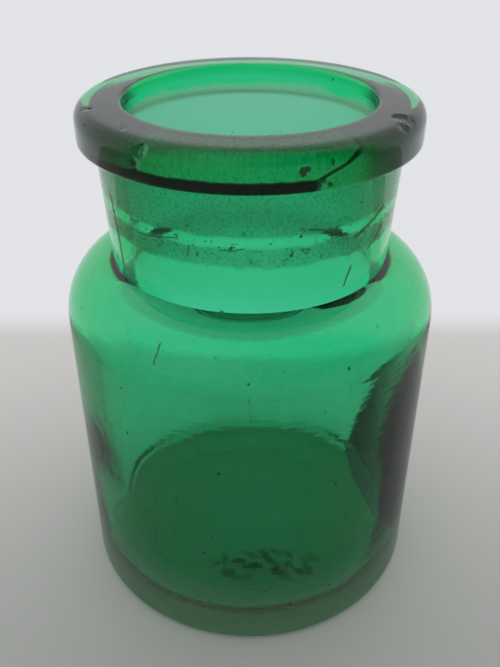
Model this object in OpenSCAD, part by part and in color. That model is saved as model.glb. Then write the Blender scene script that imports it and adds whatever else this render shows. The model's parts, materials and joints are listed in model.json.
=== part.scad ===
// Wide-mouth glass vial: a blown body with its neck, and a thick lip laid on round the neck's end.
// Millimetres, +Z up. The origin is the centre of the foot, on the surface that the vial stands on.

/* [Body] */
// Height of the vial, from the foot to the rim
total_h = 63.5; // [52:0.5:90]
// Outside diameter of the straight body
body_d = 45; // [38:0.5:60]
// Thickness of the glass in the body
wall = 2.4; // [1.6:0.1:3.2]
// How much more glass there is over the top of the shoulder
shoulder_extra = 0.8; // [0:0.1:1.6]

/* [Base] */
// Thickness of the floor over the top of the push-up
floor_t = 2; // [1.5:0.1:6]
// Radius of the outside edge round the foot
heel_r = 1.3; // [0.6:0.1:2.4]
// Radius inside, where the wall meets the floor
inner_heel_r = 2.5; // [1:0.1:6]
// Width of the flat ring that the vial stands on
foot_w = 3.6; // [2:0.1:6]
// Height of the push-up in the middle of the underside
pushup_h = 1; // [0.4:0.1:1.6]

/* [Mouth and neck] */
// Diameter of the mouth, which takes the cork
mouth_d = 27.6; // [20:0.1:33.4]
// Thickness of the glass in the neck under the lip
neck_top_t = 3.4; // [2.2:0.1:4.4]
// Thickness of the glass in the neck at its foot
neck_base_t = 2.6; // [1.8:0.1:4.4]
// Height of the neck and the lip together, above the top of the shoulder
neck_h = 17.8; // [11:0.1:24]
// Radius of the curve between the body and the neck
shoulder_r = 7.2; // [4:0.1:9]
// Radius of the curve inside, between the mouth and the shoulder
throat_r = 7; // [1:0.1:9]

/* [Lip] */
// How far the lip stands out from the neck under it
lip_overhang = 1.8; // [1.2:0.1:3]
// Height of the lip's outside
lip_h = 4.1; // [3:0.1:7]
// Thickness of the lip where it covers the neck's end
lip_cap_t = 1.4; // [0.9:0.1:2.4]
// Radius of the lip's upper outside edge
lip_top_r = 1.6; // [0.4:0.1:2]
// Radius of the lip's lower outside edge
lip_under_r = 0.5; // [0.2:0.1:0.9]
// Radius of the edge between the rim and the mouth
mouth_edge_r = 0.5; // [0.2:0.1:0.8]

/* [Hidden] */
$fn = 180;

body_r = body_d / 2;
chamber_r = body_r - wall;
mouth_r = mouth_d / 2;
neck_top_r = mouth_r + neck_top_t;
neck_base_r = mouth_r + neck_base_t;
lip_r = neck_top_r + lip_overhang;

// Heights of the places where one stretch of the outline meets the next
chamber_floor_z = pushup_h + floor_t;
shoulder_top_z = total_h - neck_h;
shoulder_z = shoulder_top_z - shoulder_r;
lip_under_z = total_h - lip_h;
neck_end_z = total_h - lip_cap_t;

// The shoulder's curve is centred on a ring of this radius, at shoulder_z
shoulder_ring_r = body_r - shoulder_r;
// The neck's straight side comes down on that curve here
crease_z = shoulder_z + arc_height(shoulder_r, neck_base_r - shoulder_ring_r);

// The shoulder's inside has the same ring, a little lower
inner_shoulder_r = shoulder_r - wall;
inner_shoulder_z = shoulder_z - shoulder_extra;
// The throat's curve touches the mouth's wall and the shoulder's inside
throat_x = mouth_r + throat_r;
throat_z = inner_shoulder_z + arc_height(inner_shoulder_r + throat_r, throat_x - shoulder_ring_r);

// The push-up is the cap of a sphere that meets the inner edge of the foot
foot_inner_r = body_r - heel_r - foot_w;
pushup_r = (foot_inner_r * foot_inner_r + pushup_h * pushup_h) / (2 * pushup_h);

// Height of a circle of radius r at a distance d outwards from its centre
function arc_height(r, d) = sqrt(r * r - pow(max(0, d), 2));

// Half outline of an upright column with a rounded lower edge
module column_outline(r, edge_r, low_z, high_z) {
    translate([0, low_z]) square([r - edge_r, high_z - low_z]);
    translate([0, low_z + edge_r]) square([r, high_z - low_z - edge_r]);
    translate([r - edge_r, low_z + edge_r]) circle(edge_r);
}

// Half outline of a shoulder of radius r, which closes a column from above at height z
module shoulder_outline(r, z) {
    translate([0, z]) square([shoulder_ring_r, r]);
    translate([shoulder_ring_r, z]) circle(r);
}

// Half outline of the neck, straight where the lip is laid on it
module neck_outline() {
    polygon([
        [0, shoulder_z],
        [neck_base_r, shoulder_z],
        [neck_base_r, crease_z],
        [neck_top_r, lip_under_z],
        [neck_top_r, neck_end_z],
        [0, neck_end_z]
    ]);
}

// Half outline of the space where the mouth widens into the body
module throat_outline() {
    difference() {
        polygon([
            [0, inner_shoulder_z],
            [min(shoulder_ring_r, throat_x), inner_shoulder_z],
            [throat_x, throat_z],
            [0, throat_z]
        ]);
        translate([throat_x, throat_z]) circle(throat_r);
    }
}

// Half outline of the empty space inside, from the floor up through the mouth
module chamber_outline() {
    column_outline(chamber_r, inner_heel_r, chamber_floor_z, inner_shoulder_z);
    shoulder_outline(inner_shoulder_r, inner_shoulder_z);
    throat_outline();
    translate([0, throat_z]) square([mouth_r, total_h - throat_z]);
}

// Half section of the lip: a rectangle that has lost three of its corners
module lip_outline() {
    difference() {
        translate([mouth_r, lip_under_z]) square([lip_r - mouth_r, lip_h]);
        square([neck_top_r, neck_end_z]);
        corner_cut(lip_r, total_h, lip_top_r, 1, 1);
        corner_cut(lip_r, lip_under_z, lip_under_r, 1, -1);
        corner_cut(mouth_r, total_h, mouth_edge_r, -1, 1);
    }
}

// What rounding takes off a corner at (x, y) that points along side_x and side_y
module corner_cut(x, y, r, side_x, side_y) {
    translate([x, y]) mirror([side_x > 0 ? 1 : 0, 0]) mirror([0, side_y > 0 ? 1 : 0]) difference() {
        square(r);
        translate([r, r]) circle(r);
    }
}

module blown_body() {
    color([0.16, 0.56, 0.34]) rotate_extrude() difference() {
        union() {
            column_outline(body_r, heel_r, 0, shoulder_z);
            shoulder_outline(shoulder_r, shoulder_z);
            neck_outline();
        }
        chamber_outline();
        translate([0, pushup_h - pushup_r]) circle(pushup_r);
    }
}

module applied_lip() {
    color([0.12, 0.47, 0.29]) rotate_extrude() lip_outline();
}

blown_body();
applied_lip();
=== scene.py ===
import json
import math
import bmesh
import bpy
from mathutils import Matrix, Vector, noise


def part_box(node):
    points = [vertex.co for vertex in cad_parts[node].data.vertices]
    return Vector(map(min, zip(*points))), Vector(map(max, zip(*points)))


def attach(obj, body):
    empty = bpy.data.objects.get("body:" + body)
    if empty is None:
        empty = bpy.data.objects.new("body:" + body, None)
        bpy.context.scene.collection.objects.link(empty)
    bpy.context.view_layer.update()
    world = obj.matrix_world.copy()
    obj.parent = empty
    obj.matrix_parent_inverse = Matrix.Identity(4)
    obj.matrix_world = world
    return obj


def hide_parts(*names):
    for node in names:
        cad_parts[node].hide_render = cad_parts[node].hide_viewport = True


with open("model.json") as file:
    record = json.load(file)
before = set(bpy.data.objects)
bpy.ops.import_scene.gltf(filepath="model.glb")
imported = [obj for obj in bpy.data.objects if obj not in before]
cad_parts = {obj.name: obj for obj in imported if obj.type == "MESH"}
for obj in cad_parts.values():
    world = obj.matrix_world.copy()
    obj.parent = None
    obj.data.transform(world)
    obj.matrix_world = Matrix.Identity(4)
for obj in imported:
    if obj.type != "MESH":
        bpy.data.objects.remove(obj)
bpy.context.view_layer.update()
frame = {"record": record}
mm = 0.001

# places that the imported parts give
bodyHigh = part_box("blown_body")[1]
lipLow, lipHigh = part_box("applied_lip")
mouth = next(m for m in frame["record"]["mounts"] if m["name"] == "mouth")
bodyRadius = bodyHigh[0]
neckEnd = bodyHigh[2]
lipRadius = lipHigh[0]
lipUnder = lipLow[2]
rimHeight = lipHigh[2]
mouthRadius = mouth["dims"]["r_mm"] * mm
print("frame loaded")

# the weld is where the lip lies on the neck's end; both pieces have faces there
weldSizes = {"neckRadius": 17.2 * mm, "gap": 0.01 * mm}
meshLook = {"merge": 0.0005 * mm, "sharpDegrees": 35}


def startOutline(radius, height):
    # a half outline in the plane of X and Z, drawn by moving its tip
    mesh = bmesh.new()
    inside = mesh.verts.layers.float.new("inside")
    tip = mesh.verts.new((radius, 0, height))
    return {"mesh": mesh, "tip": tip, "inside": inside, "side": 0.0}


def lineTo(outline, radius, height, steps=1):
    # pulls the outline's tip straight to a new place
    move = (Vector((radius, 0, height)) - outline["tip"].co) / steps
    for _ in range(steps):
        made = bmesh.ops.extrude_vert_indiv(outline["mesh"], verts=[outline["tip"]])
        outline["tip"] = made["verts"][0]
        outline["tip"].co += move
        outline["tip"][outline["inside"]] = outline["side"]


def arcAbout(outline, radius, height, degrees, steps):
    # swings the tip about a centre, anticlockwise as seen from the front
    made = bmesh.ops.spin(
        outline["mesh"], geom=[outline["tip"]], cent=(radius, 0, height), axis=(0, -1, 0),
        angle=math.radians(degrees), steps=steps)
    outline["tip"] = made["geom_last"][0]
    outline["tip"][outline["inside"]] = outline["side"]


def onWeld(point):
    # true on the faces that the lip and the neck share
    radius = math.hypot(point.x, point.y)
    slack = 3 * weldSizes["gap"]
    onSide = abs(radius - weldSizes["neckRadius"]) < slack and lipUnder < point.z < neckEnd
    onEnd = abs(point.z - neckEnd) < slack and mouthRadius < radius < weldSizes["neckRadius"]
    return onSide or onEnd


def spinPiece(outline, turns):
    # turns an outline into a closed solid of glass and marks its welded faces
    mesh = outline["mesh"]
    bmesh.ops.spin(
        mesh, geom=mesh.verts[:] + mesh.edges[:], cent=(0, 0, 0), axis=(0, 0, 1),
        angle=2 * math.pi, steps=turns, use_merge=True)
    bmesh.ops.remove_doubles(mesh, verts=mesh.verts[:], dist=meshLook["merge"])
    bmesh.ops.recalc_face_normals(mesh, faces=mesh.faces[:])
    weld = mesh.faces.layers.float.new("weld")
    for face in mesh.faces:
        face.smooth = True
        face[weld] = 1.0 if onWeld(face.calc_center_median()) else 0.0
    return mesh


def finishPiece(mesh, name, material, nodes):
    data = bpy.data.meshes.new(name)
    mesh.to_mesh(data)
    mesh.free()
    data.set_sharp_from_angle(angle=math.radians(meshLook["sharpDegrees"]))
    data.materials.append(material)
    piece = bpy.data.objects.new(name, data)
    bpy.context.scene.collection.objects.link(piece)
    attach(piece, "root")
    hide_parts(*nodes)


class Wire:
    # an output socket; arithmetic on it adds Math nodes to its tree
    def __init__(self, tree, socket=None):
        self.tree = tree
        self.socket = socket

    def add(self, kind, settings=None, inputs=None, output=0):
        # any node: its type, its settings, then the values or links of its sockets
        made = self.tree.nodes.new(kind)
        for key, value in (settings or {}).items():
            setattr(made, key, value)
        for key, value in (inputs or {}).items():
            if isinstance(value, Wire):
                self.tree.links.new(value.socket, made.inputs[key])
            else:
                made.inputs[key].default_value = value
        return Wire(self.tree, made.outputs[output] if made.outputs else None)

    def maths(self, operation, *values):
        return self.add("ShaderNodeMath", {"operation": operation}, dict(enumerate(values)))

    def rise(self, start, end):
        # 0 before start, 1 past end, smooth between; start may be the larger one
        return self.add("ShaderNodeMapRange", {"interpolation_type": "SMOOTHSTEP"}, {
            "Value": self, "From Min": start, "From Max": end, "To Min": 0.0, "To Max": 1.0})

    def band(self, low, high, soft):
        # 1 between low and high, with edges that are soft wide
        return self.rise(low - soft, low + soft) * self.rise(high + soft, high - soft)

    def size(self):
        return self.maths("ABSOLUTE", self)

    def larger(self, other):
        return self.maths("MAXIMUM", self, other)

    def __add__(self, other):
        return self.maths("ADD", self, other)

    def __radd__(self, other):
        return self.maths("ADD", other, self)

    def __sub__(self, other):
        return self.maths("SUBTRACT", self, other)

    def __rsub__(self, other):
        return self.maths("SUBTRACT", other, self)

    def __mul__(self, other):
        return self.maths("MULTIPLY", self, other)

    def __rmul__(self, other):
        return self.maths("MULTIPLY", other, self)


def newMaterial(name):
    material = bpy.data.materials.new(name)
    material.use_nodes = True
    material.node_tree.nodes.clear()
    return material, Wire(material.node_tree)


# clear green glass, pale dust that dulls it, and dark dirt, whose near black also paints shade
glassLook = {
    "ior": 1.5, "density": 600.0, "passed": (0.03, 0.89, 0.635),
    "patches": 1.6 * mm, "grain": 0.3 * mm, "detail": 3.0, "waver": 0.5 * mm,
    "speckApart": 2.6 * mm, "speckSize": 0.24 * mm, "speckShare": 0.35,
    "veil": 0.0108, "veilGrain": (0.4, 0.7), "veilPatch": (0.3, 0.7),
    "dirtAndShadeRoughness": 0.35, "dirtAndShadeDark": 0.85,
    "dust": (0.76, 0.8, 0.76), "dirtAndShade": (0.012, 0.012, 0.007), "darkFrom": 0.02, "darkFull": 0.2,
    "coverRoughness": 0.8, "streaks": 0.5 * mm, "streakLong": 0.12, "streakShare": 0.7,
    "bump": 0.22, "bumpDepth": 0.05 * mm,
}

# hairlines with dirt in them: degrees round from the front, height, length, width, lean
hairlines = [
    (47, 53.6, 5.5, 0.35, 24), (52, 51.4, 3.5, 0.25, 35), (-58, 51.5, 9, 0.3, 94),
    (-34, 53.2, 5.6, 0.13, 8), (26, 54.4, 4.2, 0.2, -12), (-21.4, 52.4, 1.3, 0.16, 80),
    (-6, 53.0, 2.6, 0.12, 6), (-57.5, 49.3, 6.5, 0.2, 88), (38, 48.2, 2.6, 0.25, 70),
    (-26.5, 42.4, 2.1, 0.16, 82),
]
hairLook = {
    "neckRadius": 17 * mm, "bodyRadius": 22 * mm, "neckFoot": 45, "core": 0.3, "ends": (0.55, 0.4),
    "dark": 0.8,
}


def hairline(angle, z, wobble, line):
    # a thin wavering streak on the round of the glass, 1 on the streak
    around, height, length, width, lean = line
    radius = hairLook["neckRadius"] if height > hairLook["neckFoot"] else hairLook["bodyRadius"]
    across = (angle - math.radians(around)) * radius
    up = z - height * mm
    tilt = math.radians(lean)
    along = across * math.cos(tilt) + up * math.sin(tilt)
    off = up * math.cos(tilt) - across * math.sin(tilt) + wobble
    thin = off.size().rise(width * mm, hairLook["core"] * width * mm)
    end, full = hairLook["ends"]
    return thin * along.size().rise(end * length * mm, full * length * mm)


# smudges of dirt on the lip: degrees round from the front, radius, height, size
lipSmudges = [
    (61, 17.0, 63.5, 1.4), (14.4, 19.0, 61.5, 0.5), (16, 19.0, 61.7, 0.3), (-34.5, 19.0, 61.4, 0.4),
    (-72, 17.3, 63.5, 0.6), (-45.5, 17.0, 63.5, 0.5), (-175, 14.2, 62.6, 0.6), (23, 18.9, 60.0, 0.5),
]
smudgeLook = {"ragged": 2.5, "edge": 0.8, "core": 0.45}


def smudge(tree, place, wobble, mark):
    degrees, radius, height, size = mark
    turn = math.radians(degrees)
    centre = (radius * math.sin(turn) * mm, -radius * math.cos(turn) * mm, height * mm)
    away = tree.add("ShaderNodeVectorMath", {"operation": "DISTANCE"}, {0: place, 1: centre}, output="Value")
    ragged = away + wobble * smudgeLook["ragged"]
    return ragged.rise(smudgeLook["edge"] * size * mm, smudgeLook["core"] * size * mm)


def dots(tree, place, apart, big, share):
    # scattered specks: one in each Voronoi cell, and only in a share of the cells
    cell = {"Vector": place, "Scale": 1 / apart}
    far = tree.add("ShaderNodeTexVoronoi", {}, cell, output="Distance")
    tint = tree.add("ShaderNodeTexVoronoi", {}, cell, output="Color")
    luck = tree.add("ShaderNodeSeparateColor", {}, {0: tint}, output=0)
    reach = big / apart
    return far.rise(reach, 0.5 * reach) * luck.rise(1 - share, 1 - 0.8 * share)


def cloud(tree, place, size, detail=2.0):
    # a soft random pattern from 0 to 1
    return tree.add("ShaderNodeTexNoise", {}, {
        "Vector": place, "Scale": 1 / size, "Detail": detail}, output="Fac")


# painted shade and dirt in the joint under the lip, in metres up and radians round; a pair is where an edge
# starts and ends
lapLook = {
    "seam": math.radians(21), "height": 0.8 * mm, "above": 0.2 * mm, "below": 0.15 * mm,
    "waver": 0.4, "ragged": 1.6, "seamSoft": 0.03, "leftEnd": (-2.3, -1.5), "climb": 7 * mm,
    "strip": (0.26 * mm, 0.08 * mm), "stripStart": (-0.04, 0.02), "stripEnd": (0.33, 0.2),
    "stripDark": 0.75,
    "flankFront": (0.5, 0.95), "flankBack": (2.1, 1.6), "flankDark": 0.55,
}


def jointShadeAndDirtMask(angle, z, wobble):
    # painted shade and dirt where the lip never fused to the neck: low and all along its left, then up the
    # strip's end; painted shade on both flanks
    s = lapLook
    seam = s["seam"]
    top = lipUnder + s["height"]
    before = angle.rise(seam + s["seamSoft"], seam - s["seamSoft"]) * angle.rise(*s["leftEnd"])
    low = (z + wobble * s["ragged"]).rise(top + s["above"], top - s["below"])
    climb = (angle - seam) * s["climb"] + top
    strip = (z - climb + wobble).size().rise(*s["strip"])
    beyond = angle - seam
    after = beyond.rise(*s["stripStart"]) * beyond.rise(*s["stripEnd"])
    side = angle.size()
    # painted shade: the joint is darker on both flanks
    flanks = side.rise(*s["flankFront"]) * side.rise(*s["flankBack"]) * s["flankDark"]
    return (low * before).larger(strip * after * s["stripDark"]).larger(flanks)


# what has dried or settled on the body, and painted shade on its front; a pair is where an edge starts and
# ends
wearLook = {
    "veil": 3.4, "film": 0.33, "filmTop": 61.3 * mm, "tideHigh": 53.5 * mm, "tideLow": 52.3 * mm,
    "filmFoot": 50 * mm, "filmSoft": 0.35 * mm, "filmThin": 0.7, "filmGrain": 0.6, "filmRoughness": 0.4,
    "broad": 6 * mm, "broadWaver": 1.6 * mm, "fineWaver": 0.6 * mm,
    "dust": 0.09, "dustOutside": (14 * mm, 2 * mm), "dustInside": (4.5 * mm, 3.2 * mm),
    "speckReach": 1.5 * mm, "speckSoft": 1 * mm, "specks": 0.5 * mm, "speckEdge": (0.6, 0.67),
    "speckPatch": (0.42, 0.6), "mottledFrontShade": 0.3, "mottledShadeEdge": (0.46, 0.66), "mottledShadeFront": (4 * mm, -6 * mm),
    "crumbLow": (5 * mm, 3.4 * mm), "crumbFront": (-14 * mm, -9.5 * mm, 1.2 * mm),
    "crumbAcross": (-4 * mm, 8 * mm, 3 * mm), "crumbs": 1.3 * mm, "crumbDetail": 5.0,
    "crumbEdge": (0.44, 0.62), "crumbDark": 0.9, "foot": (0.5 * mm, 0.1 * mm), "footRoughness": 0.6,
}


def bodyWearAndShade(tree, at, haze, dirtAndShade):
    # adds films, dust, specks, crumbs, hairlines and painted shade mottled on the film's front, and gives
    # haze, dirt with that shade, and roughness
    s = wearLook
    inside = tree.add("ShaderNodeAttribute", {"attribute_name": "inside"}, output="Fac")
    outside = 1 - inside
    # dried film in two bands of the neck, with a cleaner tide line between them
    broad = cloud(tree, at["place"], s["broad"])
    level = at["z"] + (broad - 0.5) * s["broadWaver"] + (at["patches"] - 0.5) * s["fineWaver"]
    upper = level.band(s["tideHigh"], s["filmTop"], s["filmSoft"])
    lower = level.band(s["filmFoot"], s["tideLow"], s["filmSoft"])
    film = inside * upper.larger(lower) * (s["filmThin"] + at["grain"] * s["filmGrain"])
    low = outside * at["z"].rise(*s["dustOutside"]) + inside * at["z"].rise(*s["dustInside"])
    haze = haze * (s["veil"] * outside) + film * s["film"] + low * s["dust"]
    # specks thickest on the tide line, painted shade mottled on the film's front, and crumbs on the floor
    # near the front
    tide = level.band(s["tideLow"] - s["speckReach"], s["tideHigh"] + s["speckReach"], s["speckSoft"])
    specks = cloud(tree, at["place"], s["specks"], glassLook["detail"]).rise(*s["speckEdge"])
    specks = specks * tide * at["patches"].rise(*s["speckPatch"])
    # painted shade: the film is darkened in a mottle only at its front
    mottledFrontShade = at["grain"].rise(*s["mottledShadeEdge"]) * film * at["y"].rise(*s["mottledShadeFront"]) * s["mottledFrontShade"]
    crumbs = inside * at["z"].rise(*s["crumbLow"]) * at["y"].band(*s["crumbFront"])
    crumbs = crumbs * at["x"].band(*s["crumbAcross"])
    crumbs = crumbs * cloud(tree, at["place"], s["crumbs"], s["crumbDetail"]).rise(*s["crumbEdge"])
    dirtAndShade = dirtAndShade.larger(specks).larger(crumbs * s["crumbDark"]).larger(mottledFrontShade)
    for line in hairlines:
        streak = hairline(at["angle"], at["z"], at["wobble"], line)
        dirtAndShade = dirtAndShade.larger(streak * outside * hairLook["dark"])
    worn = outside * at["z"].rise(*s["foot"]) * s["footRoughness"]
    rough = worn.larger(film * s["filmRoughness"]).larger(dirtAndShade * glassLook["dirtAndShadeRoughness"])
    return haze, dirtAndShade, rough


def readPlace(tree):
    # where a point is, and the clouds that its masks share
    s = glassLook
    place = tree.add("ShaderNodeTexCoord", output="Object")
    at = {"place": place}
    for axis in "XYZ":
        at[axis.lower()] = tree.add("ShaderNodeSeparateXYZ", {}, {0: place}, output=axis)
    at["angle"] = at["x"].maths("ARCTAN2", at["x"], 0 - at["y"])
    at["patches"] = cloud(tree, place, s["patches"], s["detail"])
    at["grain"] = cloud(tree, place, s["grain"], s["detail"])
    at["wobble"] = (at["patches"] - 0.5) * s["waver"]
    return at


def greenGlass(name, depth, smudges=None):
    # depth is how dense the colour is; the lip has smudges, and the body all its other wear and painted
    # shade
    material, tree = newMaterial(name)
    s = glassLook
    at = readPlace(tree)
    weld = tree.add("ShaderNodeAttribute", {"attribute_name": "weld"}, output="Fac")
    clean = 1 - weld
    dirtAndShade = dots(tree, at["place"], s["speckApart"], s["speckSize"], s["speckShare"])
    rough = dirtAndShade * s["dirtAndShadeRoughness"]
    haze = at["grain"].rise(*s["veilGrain"]) * at["patches"].rise(*s["veilPatch"]) * s["veil"]
    if smudges:
        for mark in smudges:
            dirtAndShade = dirtAndShade.larger(smudge(tree, at["place"], at["wobble"], mark))
    else:
        haze, dirtAndShade, rough = bodyWearAndShade(tree, at, haze, dirtAndShade)
    # near black on the joint faces under the lip: painted shade, with dirt in the lap
    jointShadeAndDirt = jointShadeAndDirtMask(at["angle"], at["z"], at["wobble"] * lapLook["waver"]) * weld
    # fine level streaks from the mould, and a soft unevenness
    stretched = tree.add("ShaderNodeMapping", {}, {
        "Vector": at["place"], "Scale": (s["streakLong"], s["streakLong"], 1)})
    streaks = cloud(tree, stretched, s["streaks"], s["detail"])
    dents = tree.add("ShaderNodeBump", {}, {
        "Strength": s["bump"], "Distance": s["bumpDepth"],
        "Height": at["patches"] + streaks * s["streakShare"]})
    clear = tree.add("ShaderNodeBsdfPrincipled", {}, {
        "Base Color": (1, 1, 1, 1), "Roughness": rough, "IOR": s["ior"], "Transmission Weight": 1.0,
        "Alpha": clean, "Normal": dents})
    # pale dust lies on the glass; dark dirt fills the scratches, and near black paints shade and dirt in the
    # joint under the lip
    dark = jointShadeAndDirt.larger(dirtAndShade * clean * s["dirtAndShadeDark"])
    coverAndShade = tree.add("ShaderNodeMix", {"data_type": "RGBA"}, {
        0: dark.rise(s["darkFrom"], s["darkFull"]), 6: (*s["dust"], 1), 7: (*s["dirtAndShade"], 1)}, output=2)
    dull = tree.add("ShaderNodeBsdfPrincipled", {}, {"Base Color": coverAndShade, "Roughness": s["coverRoughness"]})
    amount = (haze * clean).larger(dark)
    surface = tree.add("ShaderNodeMixShader", {}, {0: amount, 1: clear, 2: dull})
    colour = tree.add("ShaderNodeVolumeAbsorption", {}, {
        "Color": (*s["passed"], 1), "Density": s["density"] * depth})
    tree.add("ShaderNodeOutputMaterial", {}, {"Surface": surface, "Volume": colour})
    return material


# the blown body
bodySizes = {
    "wall": 2.4 * mm, "floor": 2 * mm, "pushup": 1 * mm, "foot": 3.6 * mm,
    "heel": 1.3 * mm, "innerHeel": 2.5 * mm, "shoulder": 7.2 * mm, "shoulderExtra": 0.8 * mm,
    "neckHeight": 17.8 * mm, "neckFoot": 16.4 * mm, "throat": 7 * mm, "turns": 240, "depth": 1.0,
}
# how far the blown glass wavers, inside and outside, and where it stays even
unevenSizes = {
    "inner": 0.22 * mm, "innerWave": 11 * mm, "outer": 0.05 * mm, "outerWave": 11 * mm / 1.3,
    "top": 58 * mm, "fade": 6 * mm, "heel": 2 * mm, "axis": 1 * mm,
}


def bodyOutline(s):
    neckRadius = weldSizes["neckRadius"] - weldSizes["gap"]
    neckTop = neckEnd - weldSizes["gap"]
    ring = bodyRadius - s["shoulder"]
    shoulderZ = rimHeight - s["neckHeight"] - s["shoulder"]
    footInner = bodyRadius - s["heel"] - s["foot"]
    domeRadius = (footInner ** 2 + s["pushup"] ** 2) / (2 * s["pushup"])
    domeAngle = math.degrees(math.asin(footInner / domeRadius))
    creaseAngle = math.degrees(math.acos((s["neckFoot"] - ring) / s["shoulder"]))
    floorZ = s["pushup"] + s["floor"]
    chamber = bodyRadius - s["wall"]
    # the throat's curve touches the bore and the shoulder's inner curve
    innerZ = shoulderZ - s["shoulderExtra"]
    throatX = mouthRadius + s["throat"]
    reach = s["shoulder"] - s["wall"] + s["throat"]
    throatZ = innerZ + math.sqrt(reach ** 2 - (throatX - ring) ** 2)
    throatAngle = math.degrees(math.acos((throatX - ring) / reach))

    line = startOutline(0, s["pushup"])
    arcAbout(line, 0, s["pushup"] - domeRadius, -domeAngle, 14)
    lineTo(line, bodyRadius - s["heel"], 0, 3)
    arcAbout(line, bodyRadius - s["heel"], s["heel"], 90, 6)
    lineTo(line, bodyRadius, shoulderZ, 34)
    arcAbout(line, ring, shoulderZ, creaseAngle, 16)
    lineTo(line, neckRadius, lipUnder, 14)
    lineTo(line, neckRadius, neckTop, 9)
    lineTo(line, mouthRadius, neckTop, 4)
    line["side"] = 1.0
    lineTo(line, mouthRadius, throatZ, 24)
    arcAbout(line, throatX, throatZ, throatAngle, 18)
    arcAbout(line, ring, innerZ, -throatAngle, 14)
    lineTo(line, chamber, floorZ + s["innerHeel"], 30)
    arcAbout(line, chamber - s["innerHeel"], floorZ + s["innerHeel"], -90, 8)
    lineTo(line, 0, floorZ, 12)
    return line


def unevenGlass(mesh, s):
    # the blown inside wavers, and the outside is pressed in a little here and there
    inside = mesh.verts.layers.float["inside"]
    for vert in mesh.verts:
        radius = math.hypot(vert.co.x, vert.co.y)
        if vert.co.z > s["top"] or radius < s["axis"]:
            continue
        slack = min(1, (s["top"] - vert.co.z) / s["fade"])
        if vert[inside] > 0.5:
            push = s["inner"] * slack * noise.noise(vert.co / s["innerWave"])
        elif vert.co.z > s["heel"]:
            push = -s["outer"] * slack * (0.5 + 0.5 * noise.noise(vert.co / s["outerWave"]))
        else:
            continue
        vert.co += Vector((vert.co.x, vert.co.y, 0)) / radius * push


bodyMesh = spinPiece(bodyOutline(bodySizes), bodySizes["turns"])
unevenGlass(bodyMesh, unevenSizes)
bodyGlass = greenGlass("blownGlass", bodySizes["depth"])
finishPiece(bodyMesh, "vialBody", bodyGlass, ["blown_body"])
print("body made")

# the lip
lipSizes = {
    "topEdge": 1.6 * mm, "underEdge": 0.5 * mm, "mouthEdge": 0.5 * mm, "turns": 240, "depth": 1.4,
}
# chips: degrees round from the front, radius, height, size, depth
lipChips = [
    (60, 17.6, 63.5, 1.3, 0.35), (54, 18.2, 63.2, 0.8, 0.25), (-72, 17.5, 63.5, 0.9, 0.25),
    (-45.5, 17.0, 63.5, 0.8, 0.25), (-32, 18.8, 62.7, 0.8, 0.35), (-175, 14.3, 63.4, 0.8, 0.3),
    (21, 18.9, 59.7, 0.9, 0.35), (14, 19.0, 61.6, 0.5, 0.2), (-34, 19.0, 61.4, 0.6, 0.2),
]
chipSizes = {"around": 1.6, "cuts": 3, "under": 3 * mm, "grain": 0.3 * mm, "mean": 0.7, "uneven": 0.6}


def lipOutline(s):
    neckRadius = weldSizes["neckRadius"]
    line = startOutline(neckRadius, lipUnder)
    lineTo(line, lipRadius - s["underEdge"], lipUnder, 2)
    arcAbout(line, lipRadius - s["underEdge"], lipUnder + s["underEdge"], 90, 5)
    lineTo(line, lipRadius, rimHeight - s["topEdge"], 4)
    arcAbout(line, lipRadius - s["topEdge"], rimHeight - s["topEdge"], 90, 8)
    lineTo(line, mouthRadius + s["mouthEdge"], rimHeight, 6)
    arcAbout(line, mouthRadius + s["mouthEdge"], rimHeight - s["mouthEdge"], 90, 5)
    lineTo(line, mouthRadius, neckEnd, 2)
    lineTo(line, neckRadius, neckEnd, 4)
    lineTo(line, neckRadius, lipUnder, 9)
    return line


def chipAt(mesh, degrees, radius, height, size, depth):
    # breaks a shell-shaped flake out of the lip
    s = chipSizes
    turn = math.radians(degrees)
    centre = Vector((radius * math.sin(turn), -radius * math.cos(turn), height))
    near = [e for e in mesh.edges if all((v.co - centre).length < s["around"] * size for v in e.verts)]
    bmesh.ops.subdivide_edges(mesh, edges=near, cuts=s["cuts"], use_grid_fill=True)
    inward = -(centre - Vector((0, 0, height - s["under"]))).normalized()
    for vert in mesh.verts:
        away = (vert.co - centre).length
        if away < size:
            rough = s["mean"] + s["uneven"] * noise.noise(vert.co / s["grain"])
            vert.co += inward * depth * rough * (1 - (away / size) ** 2)


lipMesh = spinPiece(lipOutline(lipSizes), lipSizes["turns"])
for degrees, radius, height, size, depth in lipChips:
    chipAt(lipMesh, degrees, radius * mm, height * mm, size * mm, depth * mm)
lipGlass = greenGlass("lipGlass", lipSizes["depth"], lipSmudges)
finishPiece(lipMesh, "vialLip", lipGlass, ["applied_lip"])
print("lip made")


def finishStage(mesh, name, material):
    data = bpy.data.meshes.new(name)
    mesh.to_mesh(data)
    mesh.free()
    data.materials.append(material)
    thing = bpy.data.objects.new(name, data)
    bpy.context.scene.collection.objects.link(thing)
    return thing


# the table, which fades out at its far edge; its colour is painted shade, darker towards the camera and
# paler at the back
tableLook = {
    "reach": 0.6, "front": -60 * mm, "behind": 54 * mm, "fade": 6 * mm,
    "near": (0.40, 0.41, 0.37), "far": (0.79, 0.77, 0.72), "roughness": 0.45,
}


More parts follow.
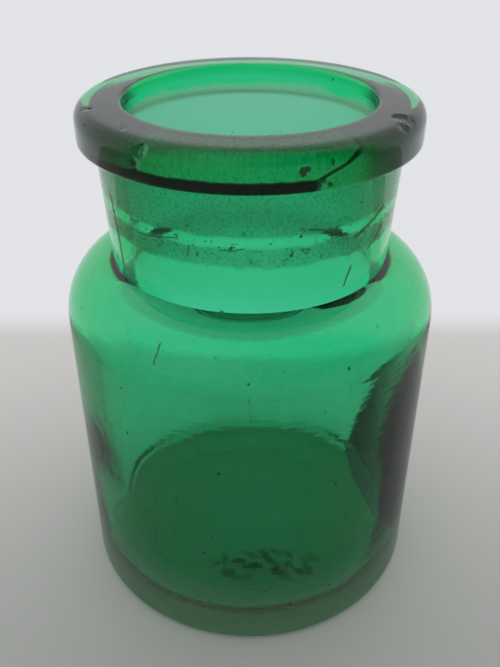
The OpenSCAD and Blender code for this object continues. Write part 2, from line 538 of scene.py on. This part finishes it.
def makeTable(s):
    mesh = bmesh.new()
    bmesh.ops.create_grid(mesh, x_segments=2, y_segments=2, size=s["reach"])
    back = s["behind"] + s["fade"]
    bmesh.ops.translate(mesh, vec=(0, back - s["reach"], 0), verts=mesh.verts[:])
    material, tree = newMaterial("tablePaint")
    place = tree.add("ShaderNodeTexCoord", output="Object")
    y = tree.add("ShaderNodeSeparateXYZ", {}, {0: place}, output="Y")
    solid = y.rise(back, s["behind"] - s["fade"])
    # painted shade: the colour is dark at the front and pale at the back
    toneWithPaintedShade = tree.add("ShaderNodeMix", {"data_type": "RGBA"}, {
        0: y.rise(s["front"], s["behind"]), 6: (*s["near"], 1), 7: (*s["far"], 1)}, output=2)
    shader = tree.add("ShaderNodeBsdfPrincipled", {}, {
        "Base Color": toneWithPaintedShade, "Roughness": s["roughness"], "Alpha": solid})
    tree.add("ShaderNodeOutputMaterial", {}, {"Surface": shader})
    finishStage(mesh, "table", material)


# a black oval sheet on the table at the right, seen only through the glass: painted shade, a dark patch in
# the body
shadePatchSheetSizes = {
    "long": 24 * mm, "wide": 18.5 * mm, "turn": 45, "place": (38.6 * mm, 13.6 * mm, 0.3 * mm),
    "segments": 64, "colour": (0.004, 0.004, 0.004), "roughness": 0.9,
}


def makeShadePatchSheet(s):
    mesh = bmesh.new()
    bmesh.ops.create_circle(mesh, cap_ends=True, segments=s["segments"], radius=1)
    bmesh.ops.scale(mesh, vec=(s["long"], s["wide"], 1), verts=mesh.verts[:])
    turn = Matrix.Rotation(math.radians(s["turn"]), 3, "Z")
    bmesh.ops.rotate(mesh, verts=mesh.verts[:], cent=(0, 0, 0), matrix=turn)
    bmesh.ops.translate(mesh, vec=s["place"], verts=mesh.verts[:])
    material, tree = newMaterial("paintedShadeSheetBlack")
    shader = tree.add("ShaderNodeBsdfPrincipled", {}, {
        "Base Color": (*s["colour"], 1), "Roughness": s["roughness"], "Specular IOR Level": 0.0})
    tree.add("ShaderNodeOutputMaterial", {}, {"Surface": shader})
    shadePatchSheet = finishStage(mesh, "shadePatchSheet", material)
    # hidden from the camera, from other surfaces and from shadows, so it only paints shade seen through the
    # glass
    for kind in ("camera", "diffuse", "glossy", "shadow"):
        setattr(shadePatchSheet, "visible_" + kind, False)


# pale all round; where the glass mirrors it, dark behind the camera and overhead
roomLook = {
    "wall": (0.765, 0.77, 0.805), "strength": 1.0, "mirrored": (0.2, 0.8), "behind": (0.15, -0.35),
    "darkLeft": 0.62, "darkRight": 0.36, "across": (-0.4, 0.4), "overhead": (0.8, 0.97), "darkOver": 0.45,
}


def makeWorld(s):
    world = bpy.data.worlds.new("room")
    world.use_nodes = True
    world.node_tree.nodes.clear()
    tree = Wire(world.node_tree)
    facing = tree.add("ShaderNodeTexCoord", output="Generated")
    x = tree.add("ShaderNodeSeparateXYZ", {}, {0: facing}, output="X")
    y = tree.add("ShaderNodeSeparateXYZ", {}, {0: facing}, output="Y")
    z = tree.add("ShaderNodeSeparateXYZ", {}, {0: facing}, output="Z")
    mirrored = tree.add("ShaderNodeLightPath", output="Glossy Depth").rise(*s["mirrored"])
    behind = y.rise(*s["behind"]) * (s["darkLeft"] + x.rise(*s["across"]) * s["darkRight"])
    above = z.rise(*s["overhead"]) * s["darkOver"]
    dark = mirrored * behind.larger(above)
    light = tree.add("ShaderNodeBackground", {}, {
        "Color": (*s["wall"], 1), "Strength": (1 - dark) * s["strength"]})
    tree.add("ShaderNodeOutputWorld", {}, {"Surface": light})
    bpy.context.scene.world = world


# close to the vial, so the mouth looks wide and the foot narrow; away and above are in lip radii
cameraLook = {"lens": 40.05, "sensor": 36, "nearest": 0.005, "away": 4.296, "above": 1.143, "down": 32.79}


def makeCamera(s):
    data = bpy.data.cameras.new("camera")
    data.sensor_width = s["sensor"]
    data.lens = s["lens"]
    data.clip_start = s["nearest"]
    camera = bpy.data.objects.new("camera", data)
    camera.location = (0, -s["away"] * lipRadius, rimHeight + s["above"] * lipRadius)
    camera.rotation_euler = (math.radians(90 - s["down"]), 0, 0)
    bpy.context.scene.collection.objects.link(camera)
    bpy.context.scene.camera = camera


makeTable(tableLook)
makeShadePatchSheet(shadePatchSheetSizes)
makeWorld(roomLook)
makeCamera(cameraLook)
bpy.context.scene.view_settings.view_transform = "Standard"
print("stage made")
